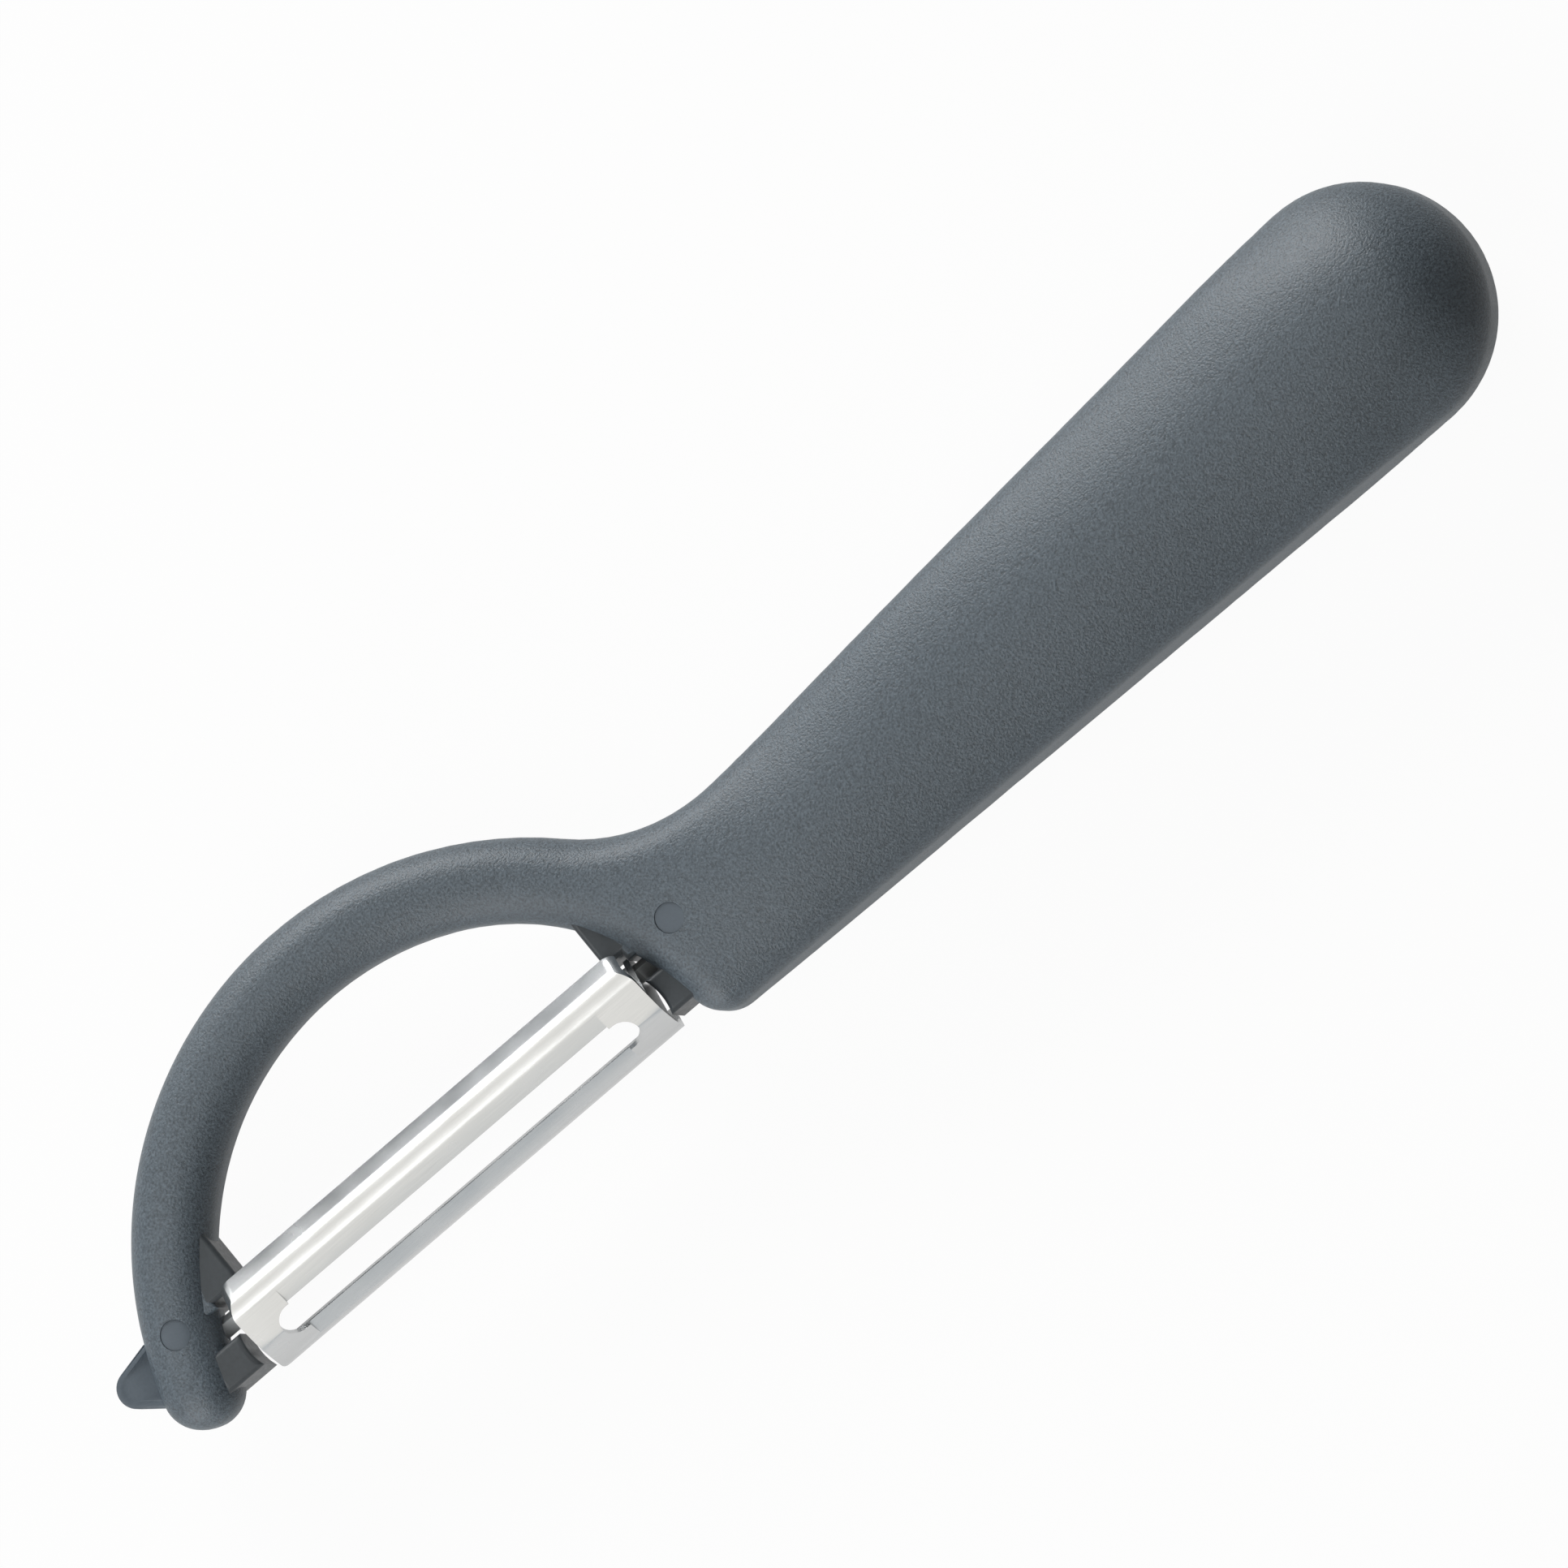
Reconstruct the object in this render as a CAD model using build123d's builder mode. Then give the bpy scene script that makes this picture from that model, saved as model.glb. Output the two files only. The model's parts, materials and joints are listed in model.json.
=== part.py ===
"""Hand vegetable peeler: a moulded handle with a D-shaped bow, and a slotted blade that swivels across it.

Millimetres. X runs along the blade's pivot axis towards the handle, Y towards the bow, Z towards the front.
The origin is the centre of the whole peeler's box, on the parting plane. Outlines are drawn on planes that
stand on the pivot axis, so that their own origin is the middle of that axis.
"""

from build123d import *
from math import cos, radians, sin, sqrt
import os

# Places named "past" are measured from the blade's half length, so that all stands round the blade

# Bow, seen from the front
bow_top_past = 0.55  # outer crest above the pivot axis
bow_shift = 1.0  # crest towards the handle
bow_outer_past = 15.05
bow_inner_past = 6.3
bow_width = 9.15  # at the crest
bow_depth = 9.8
bow_tip_angle = 168.6  # where the outer edge ends, from the handle's side
bow_tip_skew = 2.8
shoulder_tightening = 6.65  # the inner curve's radius gets this much smaller down to the nose
shoulder_angle = 64.3
nose_angle = -2.4
neck_angle = 33.1  # where the outer edge meets the handle's upper edge
neck_radius = 21.0
rim_radius = 4.0
corner_margin = 0.2  # corners of the outline are this much rounder than the rims

# Handle, tapering outwards to a round end
handle_past = 106.1  # centre of the round end
handle_rise = 3.03
handle_end_radius = 14.3
handle_end_depth = 21.0
neck_past = 18.5
neck_depth = 14.6
neck_drop = 8.45  # the neck is this much less high than the bow
swell_lead = 11.5  # the front begins to swell this far short of the blade's half length
dome_overhang = 2.0  # the dome's own curve closes this far past the round end

# Lugs beside the blade's ends, with the pivot's gap between each pair
lug_depth = 7.3
lug_edge_radius = 0.6
lug_root = 5.0  # how far they run into the moulding
block_gap = 0.25  # to the blade's end
block_hollow = 0.4
block_low = 6.2
handle_block_high = 1.5
tip_block_high = 1.9
handle_stop_tuck = 2.15  # how far the stops reach under the blade's ends
tip_stop_tuck = 2.8
handle_stop_low = 1.35
tip_stop_low = 1.75
stop_relief_height = 2.35  # clears the blade's tongues as they turn

# Eye remover, a scooped tongue behind the bow's tip
eye_tip_radius = 2.25
eye_tip_past = 13.4
eye_tip_rise = 1.15
eye_root_radius = 4.2
eye_root_past = 9.0
eye_root_rise = 0.15
eye_thickness = 2.6
eye_rim = 0.55
eye_dish_depth = 0.6
eye_dish_radius = 0.8
eye_edge_radius = 0.4

# Blade, a stamped channel with a creased roof
blade_length = 57.0
blade_shift = 0.4
blade_turn_angle = 45.0  # rest position about the pivot axis, from flat to the front
blade_sheet = 0.7
crease_height = 7.16  # above the pivot axis
skirt_height = 1.5
roof_radius = 20.5
roof_pitch_angle = 8.0
roof_turn_angle = 12.0
flange_angle = 90.0
bend_radius = 2.5
end_corner_radius = 1.8
square_corner_radius = 0.3
slot_land = 3.15  # sheet left past each end of the slot
slot_width = 4.0
bevel_land = 5.6
bevel_tilt_angle = 3.0
tongue_half_width = 2.1

# Pivot pins, steel, flat outside the journals
journal_radius = 1.2
journal_clearance = 0.06
journal_sink = 0.6  # starts this far inside the wall
journal_tail = 1.2  # past the groove
bore_end_gap = 0.3
flat_width = 2.0
flat_thickness = 1.0
flat_fit = 0.02
stake_radius = 1.5
stake_height = 0.6
groove_radius = 0.65
groove_margin = 0.15

# Lock pins, round plugs beside the grooves
lock_radius = 1.65
lock_gap = 0.15
lock_fit = 0.03
lock_head_low = 1.6
lock_reach = 1.7
lock_sink = 0.12
handle_lock_past = 7.5
handle_lock_rise = 1.57
tip_lock_past = 6.0
tip_lock_rise = 2.3

overrun = 1.0  # cuts pass their faces by this much

half_blade = blade_length / 2
slot_length = blade_length - 2 * slot_land
bevel_length = blade_length - 2 * bevel_land
bow_top = half_blade + bow_top_past
bow_outer_radius = half_blade + bow_outer_past
bow_inner_radius = half_blade + bow_inner_past
shoulder_radius = bow_inner_radius - shoulder_tightening
swell_place = half_blade - swell_lead
neck_place = half_blade + neck_past
neck_half_width = (bow_top - neck_drop) / 2
handle_reach = half_blade + handle_past
block_face = half_blade + blade_shift + block_gap
handle_stop_face = half_blade + blade_shift - handle_stop_tuck
tip_stop_face = half_blade - blade_shift - tip_stop_tuck
eye_root_reach = half_blade + eye_root_past
eye_tip_reach = half_blade + eye_tip_past
handle_lock_reach = half_blade + handle_lock_past
tip_lock_reach = half_blade + tip_lock_past

reach_right = handle_reach + handle_end_radius
reach_left = -eye_tip_reach - eye_tip_radius
reach_low = handle_rise - handle_end_radius
seat_x = -(reach_right + reach_left) / 2
seat_y = -(bow_top + reach_low) / 2
seat = Plane((seat_x, seat_y, 0))


def polar(centre, radius, angle):
    """Point on a circle in the drawing plane, angle in degrees."""
    return (centre[0] + radius * cos(radians(angle)), centre[1] + radius * sin(radians(angle)))


def across(x, y=0, turn=0):
    """Plane square to the pivot axis, its own x along Y at no turn."""
    along = (0, cos(radians(turn)), sin(radians(turn)))
    return Plane(origin=(seat_x + x, seat_y + y, 0), x_dir=along, z_dir=(1, 0, 0))


# Outline of the moulding: outer edge, tip, inner edge, nose, handle
bow_centre = (bow_shift, bow_top - bow_outer_radius)
inner_centre = (bow_shift, bow_top - bow_width - bow_inner_radius)
shoulder_centre = polar(inner_centre, bow_inner_radius - shoulder_radius, shoulder_angle)
inner_start = bow_tip_angle + bow_tip_skew
corner_radius = rim_radius + corner_margin

with BuildSketch(seat) as outline:
    with BuildLine():
        round_end = CenterArc((handle_reach, handle_rise), handle_end_radius, 0, 360, mode=Mode.PRIVATE)
        outer = CenterArc(bow_centre, bow_outer_radius, neck_angle, bow_tip_angle - neck_angle)
        inner = CenterArc(inner_centre, bow_inner_radius, inner_start, shoulder_angle - inner_start)
        Line(outer @ 1, inner @ 0)
        shoulder = CenterArc(shoulder_centre, shoulder_radius, shoulder_angle, nose_angle - shoulder_angle)
        low_edge = ConstrainedLines(round_end, shoulder @ 1, selector=lambda lines: lines.sort_by(Axis.Y)[0])
        high_edge = ConstrainedLines(round_end, outer @ 0, selector=lambda lines: lines.sort_by(Axis.Y)[-1])
        ThreePointArc(low_edge @ 0, (reach_right, handle_rise), high_edge @ 0)
    make_face()
    fillet(outline.vertices().sort_by_distance(outer @ 0)[0], radius=neck_radius)
    for corner in (outer @ 1, inner @ 0, shoulder @ 1):
        fillet(outline.vertices().sort_by_distance(corner)[0], radius=corner_radius)


# Crowned envelope: flat over the bow, swelling along the handle, domed at its end
rim_height = bow_depth / 2
end_crown = handle_end_depth / 2
neck_crown = neck_depth / 2
spread_share = 1.25  # sections stand this much wider than the moulding
bow_sections = 4
swell_shares = ((0.25, 0.06), (0.58, 0.44), (1, 1))
taper_shares = ((0.28, 0.31), (0.55, 0.68), (0.8, 0.92), (1, 1))
dome_shares = (0.42, 0.7, 0.85, 0.94)


def crown_section(x, y, half_width, crown):
    """Envelope section whose front and back fall to the rim height at the moulding's own edge."""
    rim = crown - (crown - rim_height) * spread_share**2
    side = half_width * spread_share
    with BuildSketch(across(x, y)) as section:
        with BuildLine():
            front = Bezier((-side, rim), (0, 2 * crown - rim), (side, rim))
            back = Bezier((side, -rim), (0, rim - 2 * crown), (-side, -rim))
            Line(front @ 1, back @ 0)
            Line(back @ 1, front @ 0)
        make_face()
    return section.sketch


bow_half_width = (bow_top - reach_low) / 2
bow_middle = (bow_top + reach_low) / 2
bow_back = -bow_outer_radius - corner_radius
bow_step = (swell_place - bow_back) / bow_sections
bow_places = [bow_back + bow_step * count for count in range(bow_sections + 1)]
crown_rows = [(place, bow_middle, bow_half_width, rim_height) for place in bow_places]
for place_share, rise_share in swell_shares:
    crown_rows.append((
        swell_place + (neck_place - swell_place) * place_share,
        bow_middle * (1 - place_share),
        bow_half_width + (neck_half_width - bow_half_width) * place_share,
        rim_height + (neck_crown - rim_height) * rise_share,
    ))
for place_share, rise_share in taper_shares:
    crown_rows.append((
        neck_place + (handle_reach - neck_place) * place_share,
        handle_rise * place_share,
        neck_half_width + (handle_end_radius - neck_half_width) * place_share,
        neck_crown + (end_crown - neck_crown) * rise_share,
    ))
for share in dome_shares:
    past_centre = share * (handle_end_radius + dome_overhang)
    crown_rows.append((
        handle_reach + past_centre,
        handle_rise,
        sqrt(max(handle_end_radius**2 - past_centre**2, rim_radius**2)),
        end_crown * sqrt(1 - share**2),
    ))

with BuildPart() as slab:
    extrude(outline.sketch, amount=handle_end_depth, both=True)

with BuildPart() as plain_moulding:
    loft([crown_section(*row) for row in crown_rows])
    add(slab.part, mode=Mode.INTERSECT)
    rims = plain_moulding.edges().filter_by(lambda edge: abs(edge.center().Z) > rim_height / 2)
    fillet(rims, radius=rim_radius)


def lug(face):
    """Lug from its outline, symmetric about the parting plane, its front and back edges eased."""
    with BuildPart() as body:
        extrude(face, amount=lug_depth / 2, both=True)
        fillet(body.edges().filter_by(Plane.XY), radius=lug_edge_radius)
    return body.part


def block_lug(side, high):
    """Lug on the cutting side, with a hollow face towards the blade."""
    near = side * block_face
    far = side * (block_face + lug_root)
    with BuildSketch(seat) as face:
        with BuildLine():
            middle = (near + side * block_hollow, (high - block_low) / 2)
            hollow = ThreePointArc((near, high), middle, (near, -block_low))
            Polyline(hollow @ 1, (far, -block_low), (far, high), hollow @ 0)
        make_face()
    return lug(face.sketch)


def stop_lug(side, reach, low):
    """Triangular lug on the bow's side, which stops the blade."""
    top = inner_centre[1] + sqrt(bow_inner_radius**2 - reach**2) + rim_radius / 2
    near = side * block_face
    far = side * (block_face + lug_root)
    with BuildSketch(seat) as face:
        with BuildLine():
            Polyline(
                (side * reach, stop_relief_height),
                (side * reach, top),
                (far, low),
                (near, low),
                (near, stop_relief_height),
                close=True,
            )
        make_face()
    return lug(face.sketch)


def eye_outline(inset, height):
    """Outline of the eye remover's tongue, drawn in from its edge."""
    with BuildSketch(seat.offset(height)) as face:
        with Locations((-eye_tip_reach, eye_tip_rise)):
            Circle(eye_tip_radius - inset)
        with Locations((-eye_root_reach, eye_root_rise)):
            Circle(eye_root_radius - inset)
        make_hull()
    return face.sketch


with BuildPart() as scoop:
    extrude(eye_outline(eye_rim, eye_thickness / 2 - eye_dish_depth), amount=eye_dish_depth + overrun)
    fillet(scoop.edges().group_by(Axis.Z)[0], radius=eye_dish_radius)

with BuildPart() as eye_tongue:
    extrude(eye_outline(0, 0), amount=eye_thickness / 2, both=True)
    fillet(eye_tongue.edges().filter_by(Plane.XY), radius=eye_edge_radius)
    add(scoop.part, mode=Mode.SUBTRACT)


# Where the pivot pins run: wall of the moulding on the axis, lock pin, journal's end
def wall_reach(side):
    """How far from the middle the moulding's inner edge crosses the pivot axis."""
    centre, radius = (shoulder_centre, shoulder_radius) if side > 0 else (inner_centre, bow_inner_radius)
    return sqrt(radius**2 - centre[1] ** 2) + side * centre[0]


groove_half = lock_radius + groove_margin
journal_past = groove_half + journal_tail
shank_flat = lock_gap + groove_radius


def facing(side, reach, turn=0):
    """Plane square to the pivot axis that faces outwards on the handle's side or the tip's side."""
    plane = across(side * reach, turn=turn)
    return Plane(origin=plane.origin, x_dir=plane.x_dir, z_dir=(side, 0, 0))


def lock_face(place, inset, height):
    """Round outline of a lock pin or its hole."""
    with BuildSketch(seat.offset(height)) as face:
        with Locations(place):
            Circle(lock_radius + inset)
    return face.sketch


def lock_shank(place, inset, height):
    """D-shaped outline below the head, its flat turned to the groove."""
    with BuildSketch(seat.offset(height)) as face:
        with Locations(place):
            Circle(lock_radius + inset)
        with Locations((place[0], shank_flat - inset)):
            Rectangle(4 * lock_radius, 2 * lock_radius, align=(Align.CENTER, Align.MAX), mode=Mode.SUBTRACT)
    return face.sketch


lock_places = {1: (handle_lock_reach, handle_lock_rise), -1: (-tip_lock_reach, tip_lock_rise)}
lock_names = {1: "handle_lock_pin", -1: "tip_lock_pin"}
pin_names = {1: "handle_pivot_pin", -1: "tip_pivot_pin"}

# Moulding: handle, bow, lugs and eye remover, with the bores and holes
with BuildPart() as handle_bow:
    add(plain_moulding.part)
    add(eye_tongue.part)
    add(block_lug(1, -handle_block_high))
    add(block_lug(-1, -tip_block_high))
    add(stop_lug(1, handle_stop_face, handle_stop_low))
    add(stop_lug(-1, tip_stop_face, tip_stop_low))
    for side, place in lock_places.items():
        bore_length = abs(place[0]) + journal_past + bore_end_gap - block_face
        with BuildSketch(facing(side, block_face)):
            Circle(journal_radius + journal_clearance)
        extrude(amount=bore_length, mode=Mode.SUBTRACT)
        shank_hole = lock_shank(place, lock_fit, -lock_reach - lock_gap)
        extrude(shank_hole, amount=handle_end_depth, mode=Mode.SUBTRACT)
        extrude(lock_face(place, lock_fit, lock_head_low), amount=handle_end_depth, mode=Mode.SUBTRACT)
handle_bow.part.label = "handle_bow"

# Blade: creased channel with a tongue turned down at each end
with BuildPart() as blade:
    with BuildSketch(across(blade_shift, turn=blade_turn_angle)):
        with BuildLine():
            roof_tangent = (cos(radians(roof_pitch_angle)), -sin(radians(roof_pitch_angle)))
            roof = JernArc((0, crease_height), roof_tangent, roof_radius, -roof_turn_angle)
            bend = JernArc(roof @ 1, roof % 1, bend_radius, roof_pitch_angle + roof_turn_angle - flange_angle)
            Line(bend @ 1, ((bend @ 1).X, skirt_height))
            offset(amount=blade_sheet, side=Side.RIGHT)
        make_face()
        mirror(about=Plane.YZ)
    extrude(amount=half_blade, both=True)
    blade_half_width = (bend @ 1).X
    tongue_top = crease_height - blade_sheet
    for side in (1, -1):
        tongue_place = blade_shift + side * (blade_length - blade_sheet) / 2
        with BuildSketch(across(tongue_place, turn=blade_turn_angle)):
            Circle(tongue_half_width)
            Rectangle(2 * tongue_half_width, tongue_top, align=(Align.CENTER, Align.MIN))
        extrude(amount=blade_sheet / 2, both=True)
    above = across(blade_shift, turn=blade_turn_angle)
    above = Plane(origin=above.origin, x_dir=(1, 0, 0), z_dir=above.y_dir)
    with BuildSketch(above) as plan:
        Rectangle(blade_length, 2 * blade_half_width)
        fillet(plan.vertices().group_by(Axis.X)[0], radius=end_corner_radius)
        fillet(plan.vertices().group_by(Axis.X)[-1].sort_by(Axis.Y)[-1], radius=end_corner_radius)
        fillet(plan.vertices().group_by(Axis.X)[-1].sort_by(Axis.Y)[0], radius=square_corner_radius)
    extrude(amount=2 * crease_height, both=True, mode=Mode.INTERSECT)
    with BuildSketch(above):
        SlotOverall(slot_length, slot_width)
    extrude(amount=2 * crease_height, mode=Mode.SUBTRACT)
    with BuildSketch(across(blade_shift, turn=blade_turn_angle)):
        edge = (roof @ 1).X
        low = (roof @ 1).Y
        peak = low + edge * sin(radians(bevel_tilt_angle))
        high = crease_height + overrun
        Polygon((-edge, low), (0, peak), (edge, low), (edge, high), (-edge, high), align=None)
    extrude(amount=bevel_length / 2, both=True, mode=Mode.SUBTRACT)
    with BuildSketch(across(blade_shift, turn=blade_turn_angle)):
        Rectangle(flat_width + 2 * flat_fit, flat_thickness + 2 * flat_fit)
    extrude(amount=blade_length, both=True, mode=Mode.SUBTRACT)
blade.part.label = "blade"


def pivot_pin(side, place):
    """Steel pin along the pivot axis: staked head, flat neck, journal with a groove."""
    outer_face = half_blade + side * blade_shift
    inner_face = outer_face - blade_sheet
    journal_start = wall_reach(side) + journal_sink
    groove_middle = abs(place[0])
    with BuildPart() as pin:
        with BuildSketch(facing(side, inner_face)):
            Circle(stake_radius)
        extrude(amount=-stake_height)
        with BuildSketch(facing(side, inner_face, blade_turn_angle)):
            Rectangle(flat_width, flat_thickness)
        extrude(amount=journal_start - inner_face)
        with BuildSketch(facing(side, journal_start)):
            Circle(journal_radius)
        extrude(amount=groove_middle + journal_past - journal_start)
        with BuildSketch(facing(side, groove_middle - groove_half)):
            Circle(journal_radius + overrun)
            Circle(groove_radius, mode=Mode.SUBTRACT)
        extrude(amount=2 * groove_half, mode=Mode.SUBTRACT)
    return pin.part


def lock_pin(place):
    """Plastic plug: round head that follows the front of the moulding, D-shaped shank beside the groove."""
    with BuildPart() as plug:
        extrude(lock_face(place, 0, lock_head_low + lock_fit), amount=handle_end_depth)
        add(plain_moulding.part.moved(Location((0, 0, -lock_sink))), mode=Mode.INTERSECT)
        extrude(lock_shank(place, 0, -lock_reach), amount=lock_reach + lock_head_low + lock_fit)
    return plug.part


os.makedirs("parts", exist_ok=True)
export_step(handle_bow.part, "parts/handle_bow.step")
export_step(blade.part, "parts/blade.step")
for side, place in lock_places.items():
    pin = pivot_pin(side, place)
    pin.label = pin_names[side]
    export_step(pin, f"parts/{pin_names[side]}.step")
    plug = lock_pin(place)
    plug.label = lock_names[side]
    export_step(plug, f"parts/{lock_names[side]}.step")
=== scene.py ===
# Vegetable peeler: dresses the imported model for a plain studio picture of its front
import json
import math

import bpy
import numpy as np
from mathutils import Matrix, Vector
from mathutils.kdtree import KDTree


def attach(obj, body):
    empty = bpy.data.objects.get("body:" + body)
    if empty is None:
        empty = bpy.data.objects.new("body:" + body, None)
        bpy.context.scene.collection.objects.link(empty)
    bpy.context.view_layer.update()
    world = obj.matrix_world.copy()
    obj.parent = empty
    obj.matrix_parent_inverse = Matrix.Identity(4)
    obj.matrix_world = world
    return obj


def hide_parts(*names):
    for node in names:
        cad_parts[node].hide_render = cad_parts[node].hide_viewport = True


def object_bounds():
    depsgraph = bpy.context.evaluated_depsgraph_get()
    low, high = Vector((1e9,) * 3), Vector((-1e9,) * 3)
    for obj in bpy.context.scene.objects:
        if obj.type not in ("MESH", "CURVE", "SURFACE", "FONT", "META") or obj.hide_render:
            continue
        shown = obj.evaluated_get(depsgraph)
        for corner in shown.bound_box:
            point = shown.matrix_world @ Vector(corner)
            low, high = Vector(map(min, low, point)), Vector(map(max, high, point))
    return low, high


mm = 0.001
softTurn = math.radians(28)  # faces that turn less than this at an edge are one smooth surface
weldReach = 0.002 * mm
noiseLow, noiseHigh = 0.3, 0.7  # a noise texture's values lie mostly between these

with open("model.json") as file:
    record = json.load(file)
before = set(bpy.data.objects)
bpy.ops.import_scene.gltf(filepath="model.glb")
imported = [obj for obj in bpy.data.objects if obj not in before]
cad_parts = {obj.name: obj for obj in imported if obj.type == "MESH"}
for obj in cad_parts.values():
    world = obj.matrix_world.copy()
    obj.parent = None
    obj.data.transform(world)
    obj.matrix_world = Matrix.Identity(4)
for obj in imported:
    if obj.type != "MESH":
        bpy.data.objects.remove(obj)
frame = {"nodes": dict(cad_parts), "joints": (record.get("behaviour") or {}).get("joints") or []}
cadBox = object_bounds()
pivot = Vector(frame["joints"][0]["pos_m"])  # middle of the blade's axis

# The photograph: a long lens on the front, leaning a little to the handle's end and the cutting side
view = {
    "side": 1932,
    "scale": 0.08703 * mm,  # across one of its pixels
    "turn": math.radians(40.6),
    "middle": Vector((53.9, 5.4, 0)) * mm,  # from the pivot to what the frame's centre shows
    "alongHandle": Vector((0.989, 0.022, -0.146)),
    "towardsBow": Vector((0, 0.989, 0.150)),
    "lens": 1500,  # millimetres, as is the sensor
    "sensor": 36,
    "clip": 20,  # metres
}


def srgb(code):
    # linear colour from an sRGB hex value
    parts = [int(code[place : place + 2], 16) / 255 for place in (1, 3, 5)]
    linear = []
    for part in parts:
        linear.append(part / 12.92 if part <= 0.04045 else ((part + 0.055) / 1.055) ** 2.4)
    return (*linear, 1)


def addNode(tree, kind, inputs, **settings):
    # inputs hold numbers, colours or another node's socket
    made = tree.nodes.new("ShaderNode" + kind)
    for name, value in settings.items():
        setattr(made, name, value)
    for name, value in inputs.items():
        if isinstance(value, bpy.types.NodeSocket):
            tree.links.new(value, made.inputs[name])
        else:
            made.inputs[name].default_value = value
    return made


def newMaterial(name):
    material = bpy.data.materials.new(name)
    material.use_nodes = True
    tree = material.node_tree
    place = addNode(tree, "TexCoord", {}).outputs["Object"]
    return material, tree, tree.nodes["Principled BSDF"], place


# Moulded polypropylene: the tool's spark-eroded face leaves a fine even grain that glitters a little in
# a soft sheen. Such a grain is about 0.1 mm wide, too fine for the picture, so it is drawn coarser
def mouldedPolypropylene(name, look):
    material, tree, shader, place = newMaterial(name)
    grain = addNode(
        tree,
        "TexNoise",
        {"Vector": place, "Scale": 1 / look["grain"], "Detail": 2, "Roughness": 0.6},
    )
    flow = addNode(tree, "TexNoise", {"Vector": place, "Scale": 1 / look["flow"], "Detail": 1})
    slate = addNode(
        tree,
        "Mix",
        {0: flow.outputs["Fac"], 6: srgb(look["cool"]), 7: srgb(look["warm"])},
        data_type="RGBA",
    )
    fromGrain = {"Value": grain.outputs["Fac"], 1: noiseLow, 2: noiseHigh}
    shade = addNode(tree, "MapRange", {**fromGrain, 3: 1 - look["mottle"], 4: 1 + look["mottle"]})
    colour = addNode(
        tree,
        "Mix",
        {0: 1, 6: slate.outputs[2], 7: shade.outputs["Result"]},
        data_type="RGBA",
        blend_type="MULTIPLY",
    )
    tree.links.new(colour.outputs[2], shader.inputs["Base Color"])
    rough, swing = look["roughness"], look["swing"]
    sheen = addNode(tree, "MapRange", {**fromGrain, 3: rough - swing, 4: rough + swing})
    tree.links.new(sheen.outputs["Result"], shader.inputs["Roughness"])
    shader.inputs["IOR"].default_value = look["ior"]
    shader.inputs["Specular IOR Level"].default_value = look["gloss"]
    relief = addNode(
        tree,
        "Bump",
        {"Height": grain.outputs["Fac"], "Distance": look["depth"], "Strength": 1},
    )
    tree.links.new(relief.outputs["Normal"], shader.inputs["Normal"])
    return material


# Rolled or drawn steel: bright, with fine lines along it, and a little uneven where it was handled.
# Such lines are a few hundredths of a millimetre apart, and are drawn coarser to show
def bareSteel(name, look):
    material, tree, shader, place = newMaterial(name)
    along = addNode(tree, "Mapping", {"Vector": place, "Scale": (look["stretch"], 1, 1)})
    slow = along.outputs["Vector"]
    lines = addNode(
        tree,
        "TexNoise",
        {"Vector": slow, "Scale": 1 / look["line"], "Detail": 2, "Roughness": 0.6},
    )
    smudge = addNode(tree, "TexNoise", {"Vector": place, "Scale": 1 / look["smudge"], "Detail": 2})
    colour = addNode(
        tree,
        "Mix",
        {0: lines.outputs["Fac"], 6: srgb(look["dull"]), 7: srgb(look["bright"])},
        data_type="RGBA",
    )
    tree.links.new(colour.outputs[2], shader.inputs["Base Color"])
    shader.inputs["Metallic"].default_value = look["metal"]
    fromSmudge = {"Value": smudge.outputs["Fac"], 1: noiseLow, 2: noiseHigh}
    clean, worn = look["roughness"] - look["clean"], look["roughness"] + look["worn"]
    wear = addNode(tree, "MapRange", {**fromSmudge, 3: clean, 4: worn})
    tree.links.new(wear.outputs["Result"], shader.inputs["Roughness"])
    relief = addNode(
        tree,
        "Bump",
        {"Height": lines.outputs["Fac"], "Distance": look["depth"], "Strength": 1},
    )
    tree.links.new(relief.outputs["Normal"], shader.inputs["Normal"])
    return material


def smoothNormals(mesh, limit):
    # each corner's normal: mean of the faces round its vertex that turn less than the limit from the
    # corner's own face
    around = {}
    for face in mesh.polygons:
        for vertex in face.vertices:
            around.setdefault(vertex, []).append(face)
    normals = [None] * len(mesh.loops)
    for face in mesh.polygons:
        for loop, vertex in zip(face.loop_indices, face.vertices):
            mean = Vector()
            for other in around[vertex]:
                if other.normal.dot(face.normal) > math.cos(limit):
                    mean += other.normal * other.area
            normals[loop] = mean.normalized() if mean.length > 0 else face.normal.copy()
    return normals


patch = {
    "points": 45,
    "fewest": 9,
    "reach": 9 * mm,
    "alike": 0.955,  # cosine of how far a neighbour's normal may turn away
    "trust": 0.96,  # the same for the fitted normal
    "focus": 3,  # how quickly a neighbour counts less with its distance
    "tiny": 1e-9,  # keeps a size above nothing
    "cutoff": 1e-6,  # a direction weaker than this share of the strongest isn't fitted
}


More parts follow.
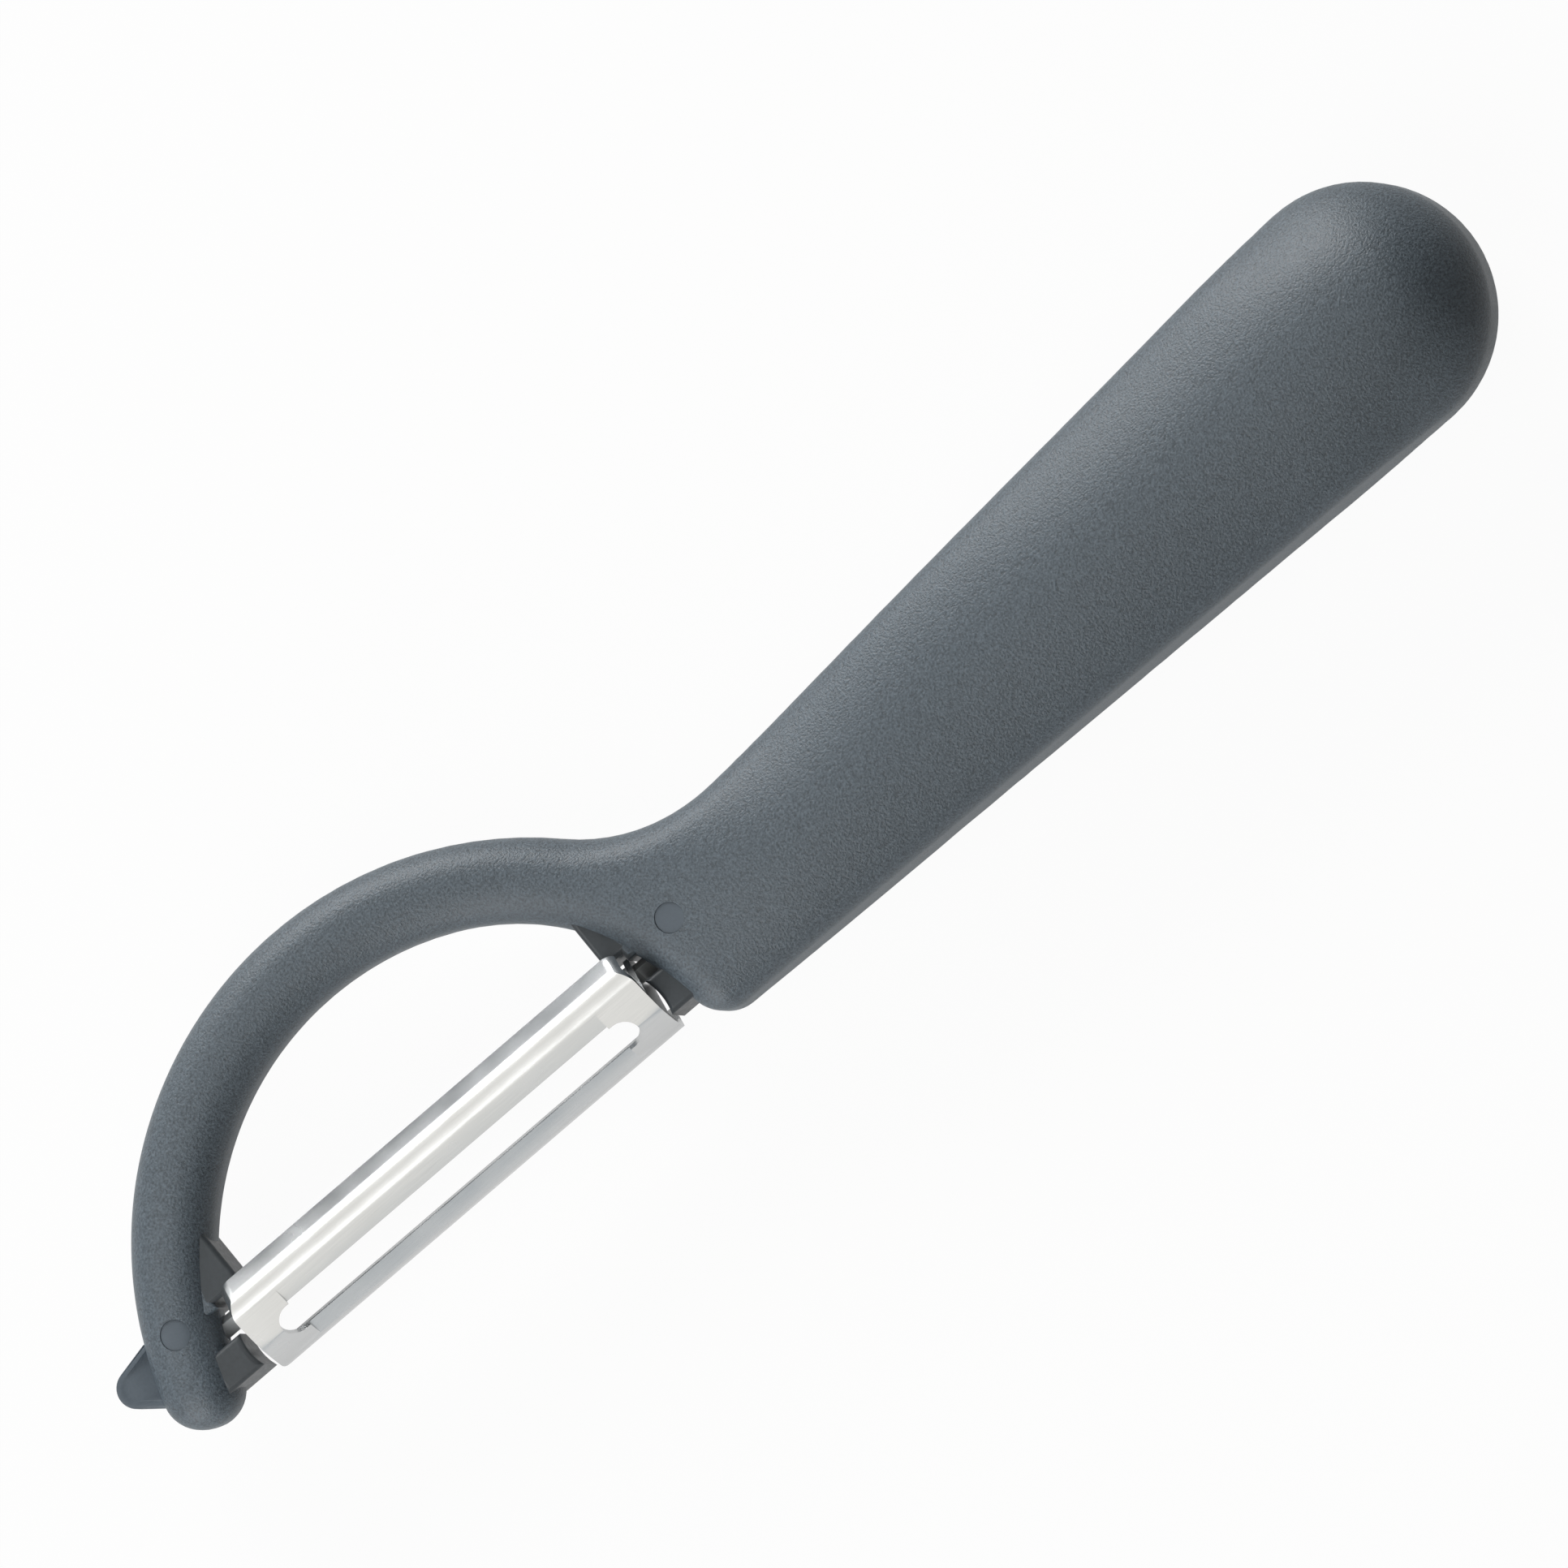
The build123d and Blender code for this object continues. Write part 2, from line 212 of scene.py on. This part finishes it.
def fittedNormals(mesh, normals):
    # the same from a curved patch fitted through the CAD points close by, so that long triangles don't
    # show: one fit for each vertex and way that its corners lean
    keys = []
    for loop in mesh.loops:
        keys.append((loop.vertex_index, *(round(part, 2) for part in normals[loop.index])))
    spots = {key: (mesh.vertices[key[0]].co, normal) for key, normal in zip(keys, normals)}
    order = {key: index for index, key in enumerate(spots)}
    places = np.array([spot[0] for spot in spots.values()])
    leans = np.array([spot[1] for spot in spots.values()])
    near = KDTree(len(spots))
    for index, place in enumerate(places):
        near.insert(place, index)
    near.balance()
    fitted = []
    for place, lean in zip(places, leans):
        close = [hit[1] for hit in near.find_n(place, patch["points"]) if hit[2] < patch["reach"]]
        close = [other for other in close if leans[other] @ lean > patch["alike"]]
        fitted.append(Vector(lean))
        if len(close) < patch["fewest"]:
            continue
        first = np.array(Vector(lean).orthogonal().normalized())
        second = np.cross(lean, first)
        offsets = places[close] - place
        u, v, rise = offsets @ first, offsets @ second, offsets @ lean
        size = np.sqrt(u**2 + v**2).max() + patch["tiny"]
        u, v, rise = u / size, v / size, rise / size
        weight = np.exp(-patch["focus"] * (u**2 + v**2))
        terms = np.stack([np.ones_like(u), u, v, u * u, u * v, v * v], axis=1) * weight[:, None]
        answer, _, rank, _ = np.linalg.lstsq(terms, rise * weight, rcond=patch["cutoff"])
        turned = lean - answer[1] * first - answer[2] * second
        turned /= np.linalg.norm(turned)
        if rank == terms.shape[1] and turned @ lean > patch["trust"]:
            fitted[-1] = Vector(turned)
    return [fitted[order[key]] for key in keys]


def smoothCopy(node, name, reshape=None):
    # a CAD node's loose triangles joined, smooth over its curved faces and sharp at its edges
    copy = bpy.data.objects.new(name, frame["nodes"][node].data.copy())
    bpy.context.scene.collection.objects.link(copy)
    weld = copy.modifiers.new("weld", "WELD")
    weld.merge_threshold = weldReach
    joined = copy.evaluated_get(bpy.context.evaluated_depsgraph_get())
    mesh = bpy.data.meshes.new_from_object(joined)
    copy.modifiers.clear()
    if reshape:
        reshape(mesh)
    mesh.shade_smooth()
    normals = smoothNormals(mesh, softTurn)
    if node != "blade":  # its flats and plain bends need no fit
        normals = fittedNormals(mesh, normals)
    mesh.normals_split_custom_set(normals)
    copy.data = mesh
    return copy


def dress(piece, material, reshape=None):
    made = smoothCopy(piece["node"], piece["name"], reshape)
    made.data.materials.clear()
    made.data.materials.append(material)
    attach(made, piece["body"])
    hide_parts(piece["node"])
    print("made", piece["name"], len(made.data.polygons), "faces")
    return made


moulding = {
    "node": "handle_bow",
    "name": "moulding",
    "body": "handle",
    "slot": "handle_plastic",
    "cool": "#4b555d",
    "warm": "#51595f",
    "grain": 0.27 * mm,  # as it is drawn
    "flow": 60 * mm,  # size of the slow drift from the cool to the warm tone
    "mottle": 0.45,  # how far the grain lightens and darkens the colour
    "depth": 0.1 * mm,
    "roughness": 0.43,
    "swing": 0.06,  # of the roughness over the grain
    "ior": 1.49,  # polypropylene's
    "gloss": 0.4,
}


def softStep(share):
    return share * share * (3 - 2 * share)


def easeShape(mesh):
    # the round end falls away more fully than the CAD's, and the eye remover's dish is shallower
    end = Vector((cadBox[1][0] - bulb["radius"], cadBox[0][1] + bulb["radius"]))
    for vertex in mesh.vertices:
        past = vertex.co.xy - end
        inward = bulb["radius"] - math.hypot(max(past.x, 0), past.y)
        share = min(max((past.x + bulb["start"]) / bulb["start"], 0), 1)
        arc = min(max(inward / bulb["fall"], 0), 1)
        drop = (1 - bulb["rim"]) * (1 - math.sqrt(1 - (1 - arc) ** 2))
        vertex.co.z *= 1 - softStep(share) * drop
        behind = (vertex.co - pivot).xy - Vector(eye["bowCentre"])
        outside = vertex.co.x < cadBox[0][0] + eye["reach"] and behind.length > eye["bowRadius"]
        if outside and vertex.co.z > 0:
            vertex.co.z = eye["land"] - (eye["land"] - vertex.co.z) * eye["dish"]


def finishOrLugShade(face):
    # 1 on the lugs in the bow's opening, 2 on the eye remover: both come smooth from polished inserts,
    # and the lugs are also painted darker as the shade that falls in their recess
    place = (face.center - pivot).xy
    inBow = (place - Vector(shadedLugs["innerCentre"])).length < shadedLugs["innerRadius"]
    inShoulder = (place - Vector(shadedLugs["shoulderCentre"])).length < shadedLugs["shoulderRadius"]
    if place.x < 0 and (place - Vector(eye["bowCentre"])).length > eye["bowRadius"]:
        return 2
    return 1 if inBow and (place.x < 0 or inShoulder) else 0


def smoothPatches(mesh, limit):
    # faces joined by edges that turn less than the limit, as lists of face indices
    beside = {}
    for face in mesh.polygons:
        for edge in face.edge_keys:
            beside.setdefault(edge, []).append(face.index)
    reached = set()
    patches = []
    for start in range(len(mesh.polygons)):
        if start in reached:
            continue
        reached.add(start)
        members, waiting = [], [start]
        while waiting:
            index = waiting.pop()
            members.append(index)
            face = mesh.polygons[index]
            for edge in face.edge_keys:
                for other in beside[edge]:
                    level = mesh.polygons[other].normal.dot(face.normal) > math.cos(limit)
                    if level and other not in reached:
                        reached.add(other)
                        waiting.append(other)
        patches.append(members)
    return patches


bulb = {
    "radius": 14.3 * mm,
    "start": 14 * mm,  # from the round end's centre back along the handle
    "fall": 9 * mm,  # width of the rim that falls away
    "rim": 0.55,  # share of the CAD's height that is left at the edge
}
# The centres here are measured from the pivot
eye = {
    "bowCentre": (1.0 * mm, -14.5 * mm),
    "bowRadius": 43.6 * mm,
    "reach": 9 * mm,
    "land": 1.3 * mm,
    "dish": 0.12,  # share of the CAD's dish that is left
}
# Lugs beside the blade's ends: the same plastic with little grain, painted darker: their colour holds
# the shade that falls on them in the recess between the bow and the blade's ends
shadedLugs = {
    "innerCentre": (1.0 * mm, -14.9 * mm),
    "innerRadius": 34.75 * mm,
    "shoulderCentre": (3.88 * mm, -8.91 * mm),
    "shoulderRadius": 28.1 * mm,
    "area": 150 * mm**2,  # more than any one flat of a lug has
    "cool": "#3e4347",
    "warm": "#434648",
    "grain": 0.5 * mm,
    "flow": 20 * mm,
    "mottle": 0.06,
    "depth": 0.006 * mm,
    "roughness": 0.38,
    "swing": 0.06,
    "ior": 1.49,
    "gloss": 0.25,
}
# Lock pins and eye remover: the same plastic, smooth from the mould
plug = {
    "body": "handle",
    "slot": "lock_plastic",
    "cool": "#525b63",
    "warm": "#575f66",
    "grain": 0.3 * mm,
    "flow": 20 * mm,
    "mottle": 0.05,
    "depth": 0.008 * mm,
    "roughness": 0.42,
    "swing": 0.06,
    "ior": 1.49,
    "gloss": 0.25,
}
plugPlastic = mouldedPolypropylene("smooth_slate_plug", plug)
body = dress(moulding, mouldedPolypropylene("slate_polypropylene", moulding), easeShape)
# the lugs' slot: a copy of the plastic painted darker as the shade in their recess
body.data.materials.append(mouldedPolypropylene("slate_lugs_painted_shade", shadedLugs))
body.data.materials.append(plugPlastic)
for members in smoothPatches(body.data, softTurn):
    faces = [body.data.polygons[index] for index in members]
    areas = [sum(face.area for face in faces if finishOrLugShade(face) == kind) for kind in range(3)]
    whole = sum(areas) < shadedLugs["area"]  # a flat of a lug, which takes one slot, the lugs' painted shade among them
    for face in faces:
        face.material_index = areas.index(max(areas)) if whole else finishOrLugShade(face)
dress({**plug, "node": "handle_lock_pin", "name": "handle_plug"}, plugPlastic)
dress({**plug, "node": "tip_lock_pin", "name": "tip_plug"}, plugPlastic)

# Stainless strip, cold rolled, stamped to a channel and ground
channelBlade = {
    "node": "blade",
    "name": "channel_blade",
    "body": "swivel_blade",
    "slot": "blade_steel",
    "bright": "#dcdddd",
    "dull": "#cfd0d1",
    "line": 0.12 * mm,
    "stretch": 0.03,  # of the pattern's scale along the blade
    "metal": 1,
    "smudge": 6 * mm,
    "depth": 0.0007 * mm,
    "roughness": 0.24,
    "clean": 0.03,  # how far the roughness falls where it is clean and rises where it is worn
    "worn": 0.04,
}
dress(channelBlade, bareSteel("stamped_stainless", channelBlade))

# Drawn steel wire, left dull by the die: its shine is spread wide
pivotPin = {
    "body": "swivel_blade",
    "slot": "pin_steel",
    "bright": "#e2e5e7",
    "dull": "#d2d5d7",
    "line": 0.15 * mm,
    "stretch": 0.2,
    "metal": 1,
    "smudge": 3 * mm,
    "depth": 0.003 * mm,
    "roughness": 0.62,
    "clean": 0.03,
    "worn": 0.04,
}
pinSteel = bareSteel("drawn_steel_pin", pivotPin)
dress({**pivotPin, "node": "handle_pivot_pin", "name": "handle_pin"}, pinSteel)
dress({**pivotPin, "node": "tip_pivot_pin", "name": "tip_pin"}, pinSteel)

studio = {
    "paper": "#d8d8d6",
    "fibre": "#dededc",
    "cloud": 25 * mm,
    "roughness": 0.9,
    "share": 0.95,  # of the paper's look that is plain white to the camera
    "reflected": 0.55,  # the same in reflections
    "drop": 0.2 * mm,  # from the peeler's lowest point to the paper
    "half": 1.5,  # of the paper's side
    "ambient": 0.06,
    "horizon": "#b6bec4",
    "ceiling": "#fffdf8",
    "low": 0.08,  # between these two heights of a direction the horizon turns to the ceiling
    "high": 0.3,
    "unlit": "#54585b",
    "near": 0.1,  # between these two shares of a direction along the handle the room turns unlit
    "far": 0.8,
}


# White paper under the peeler: matt and faintly clouded. Most of its look is plain white to the camera
# and in reflections, and the rest keeps the soft shadow
def paperFloor():
    low = cadBox[0][2] - studio["drop"]
    half = studio["half"]
    mesh = bpy.data.meshes.new("paper")
    corners = [(-half, -half, low), (half, -half, low), (half, half, low), (-half, half, low)]
    mesh.from_pydata(corners, [], [(0, 1, 2, 3)])
    floor = bpy.data.objects.new("paper", mesh)
    bpy.context.scene.collection.objects.link(floor)
    material, tree, shader, place = newMaterial("white_paper")
    fibre = addNode(tree, "TexNoise", {"Vector": place, "Scale": 1 / studio["cloud"], "Detail": 2})
    tone = addNode(
        tree,
        "Mix",
        {0: fibre.outputs["Fac"], 6: srgb(studio["paper"]), 7: srgb(studio["fibre"])},
        data_type="RGBA",
    )
    tree.links.new(tone.outputs[2], shader.inputs["Base Color"])
    shader.inputs["Roughness"].default_value = studio["roughness"]
    rays = addNode(tree, "LightPath", {})
    glossy = addNode(
        tree,
        "Math",
        {0: rays.outputs["Is Glossy Ray"], 1: studio["reflected"]},
        operation="MULTIPLY",
    )
    share = addNode(
        tree,
        "Math",
        {0: rays.outputs["Is Camera Ray"], 1: studio["share"], 2: glossy.outputs["Value"]},
        operation="MULTIPLY_ADD",
    )
    white = addNode(tree, "Emission", {"Color": (1, 1, 1, 1), "Strength": 1})
    mix = addNode(
        tree,
        "MixShader",
        {0: share.outputs["Value"], 1: shader.outputs["BSDF"], 2: white.outputs["Emission"]},
    )
    tree.links.new(mix.outputs["Shader"], tree.nodes["Material Output"].inputs["Surface"])
    mesh.materials.append(material)


paperFloor()
print("laid on paper")

cosine, sine = math.cos(view["turn"]), math.sin(view["turn"])
right = (cosine * view["alongHandle"] - sine * view["towardsBow"]).normalized()
up = (sine * view["alongHandle"] + cosine * view["towardsBow"]).normalized()
back = right.cross(up).normalized()
up = back.cross(right)
target = pivot + view["middle"]
camera = bpy.data.objects.new("camera", bpy.data.cameras.new("camera"))
bpy.context.scene.collection.objects.link(camera)
camera.data.lens = view["lens"]
camera.data.sensor_width = view["sensor"]
camera.data.clip_end = view["clip"]
distance = view["side"] * view["scale"] * view["lens"] / view["sensor"]
facing = Matrix((right, up, back)).transposed().to_4x4()
camera.matrix_world = Matrix.Translation(target + back * distance) @ facing
bpy.context.scene.camera = camera
print("camera", round(distance, 2), "m away")


def softBox(name, reach, size, power):
    # reach is its place from the target along the picture's right, up and towards the camera, in metres
    lamp = bpy.data.lights.new(name, "AREA")
    lamp.size = size
    lamp.energy = power
    box = bpy.data.objects.new(name, lamp)
    bpy.context.scene.collection.objects.link(box)
    box.location = target + right * reach[0] + up * reach[1] + back * reach[2]
    box.rotation_euler = (target - box.location).to_track_quat("-Z", "Y").to_euler()
    print("lit by", name, power, "W")


softBox("key_above", reach=(-0.6, 0.8, 0.23), size=0.6, power=12.5)
softBox("soft_front", reach=(-0.5, -0.5, 0.65), size=0.7, power=4.8)
softBox("low_fill", reach=(-0.2, -0.95, 0.2), size=0.5, power=5)

# World: white to the camera and weak as a lamp. In reflections it is white above, a cool grey at the
# horizon and unlit beyond the handle's end
world = bpy.data.worlds.new("studio")
bpy.context.scene.world = world
world.use_nodes = True
tree = world.node_tree
rays = addNode(tree, "LightPath", {})
axes = addNode(tree, "SeparateXYZ", {"Vector": addNode(tree, "TexCoord", {}).outputs["Object"]})
height = addNode(
    tree,
    "MapRange",
    {"Value": axes.outputs["Z"], 1: studio["low"], 2: studio["high"]},
)
walls = addNode(
    tree,
    "Mix",
    {0: height.outputs["Result"], 6: srgb(studio["horizon"]), 7: srgb(studio["ceiling"])},
    data_type="RGBA",
)
beyond = addNode(
    tree,
    "MapRange",
    {"Value": axes.outputs["X"], 1: studio["near"], 2: studio["far"]},
)
room = addNode(
    tree,
    "Mix",
    {0: beyond.outputs["Result"], 6: walls.outputs[2], 7: srgb(studio["unlit"])},
    data_type="RGBA",
)
shown = addNode(
    tree,
    "Mix",
    {0: rays.outputs["Is Glossy Ray"], 6: (1, 1, 1, 1), 7: room.outputs[2]},
    data_type="RGBA",
)
seen = addNode(
    tree,
    "Math",
    {0: rays.outputs["Is Camera Ray"], 1: rays.outputs["Is Glossy Ray"]},
    operation="MAXIMUM",
)
strength = addNode(tree, "MapRange", {"Value": seen.outputs["Value"], 3: studio["ambient"], 4: 1})
tree.links.new(shown.outputs[2], tree.nodes["Background"].inputs["Color"])
tree.links.new(strength.outputs["Result"], tree.nodes["Background"].inputs["Strength"])
print("room set")

bpy.context.scene.view_settings.view_transform = "Standard"
